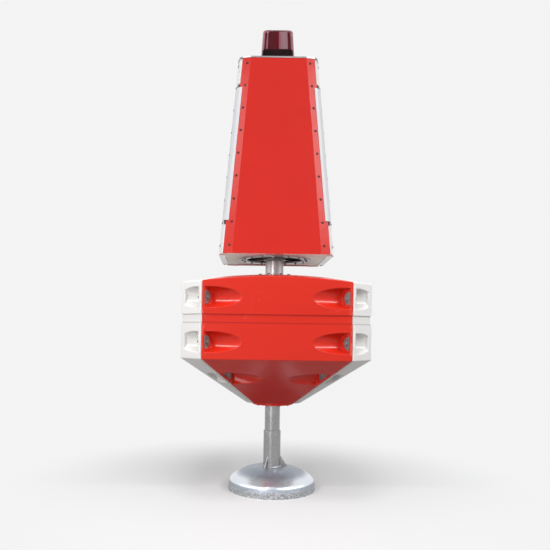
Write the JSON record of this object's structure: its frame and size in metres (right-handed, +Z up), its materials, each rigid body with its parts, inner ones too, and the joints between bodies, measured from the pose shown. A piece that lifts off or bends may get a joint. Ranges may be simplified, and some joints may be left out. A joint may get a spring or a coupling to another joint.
{
  "type": "navigation buoy",
  "caption": "Lateral navigation buoy: modular eight-sided foam float with bolted seams, panel daymark tower, red lantern, steel mast and dished ballast foot.",
  "frame": {"origin": "middle of the ballast foot's rim, at the level that the buoy stands on", "axes": "+Z up the mast, front face of the float and of the tower towards -Y, +X to the right as seen from the front"},
  "size_m": [1.5, 1.5, 3.995],
  "materials": {
    "hull_red": "satin rotomoulded polyethylene, red",
    "hull_white": "satin rotomoulded polyethylene, white",
    "panel_red": "semi-gloss red paint",
    "panel_white": "semi-gloss white paint",
    "galvanised": "hot-dip galvanised, spangled",
    "floor_paint": "off-white paint",
    "ballast": "cast concrete",
    "lamp_black": "black moulded plastic",
    "clear_cover": "clear polycarbonate",
    "lens_red": "dark red lens plastic"
  },
  "bodies": {
    "root": {"mast_tube": "galvanised", "tail_sleeve": "galvanised", "neck_sleeve": "galvanised", "deck_flange": "galvanised", "hull_lip": "hull_red", "ballast_foot": "galvanised", "foot_skirt": "galvanised", "ballast_block": "ballast", "foot_gussets": "galvanised", "mooring_lug": "galvanised", "upper_hull_front": "hull_red", "upper_hull_back": "hull_red", "upper_hull_right": "hull_white", "upper_hull_left": "hull_white", "lower_hull_front": "hull_red", "lower_hull_back": "hull_red", "lower_hull_right": "hull_white", "lower_hull_left": "hull_white", "tie_bolts_upper": "galvanised", "tie_bolts_lower": "galvanised", "tie_bolts_cone": "galvanised", "tower_panel_front": "panel_red", "tower_panel_back": "panel_red", "tower_panel_right": "panel_white", "tower_panel_left": "panel_white", "corner_post_front_right": "panel_white", "corner_post_back_right": "panel_white", "corner_post_back_left": "panel_white", "corner_post_front_left": "panel_white", "corner_strips": "panel_white", "tower_floor": "floor_paint", "floor_ring": "galvanised", "tower_roof": "panel_white", "tower_spider": "galvanised", "lantern_stand": "lamp_black", "lantern_base": "lamp_black", "lantern_cover": "clear_cover", "lantern_lens": "lens_red", "lantern_cap": "lamp_black"}
  },
  "joints": []
}
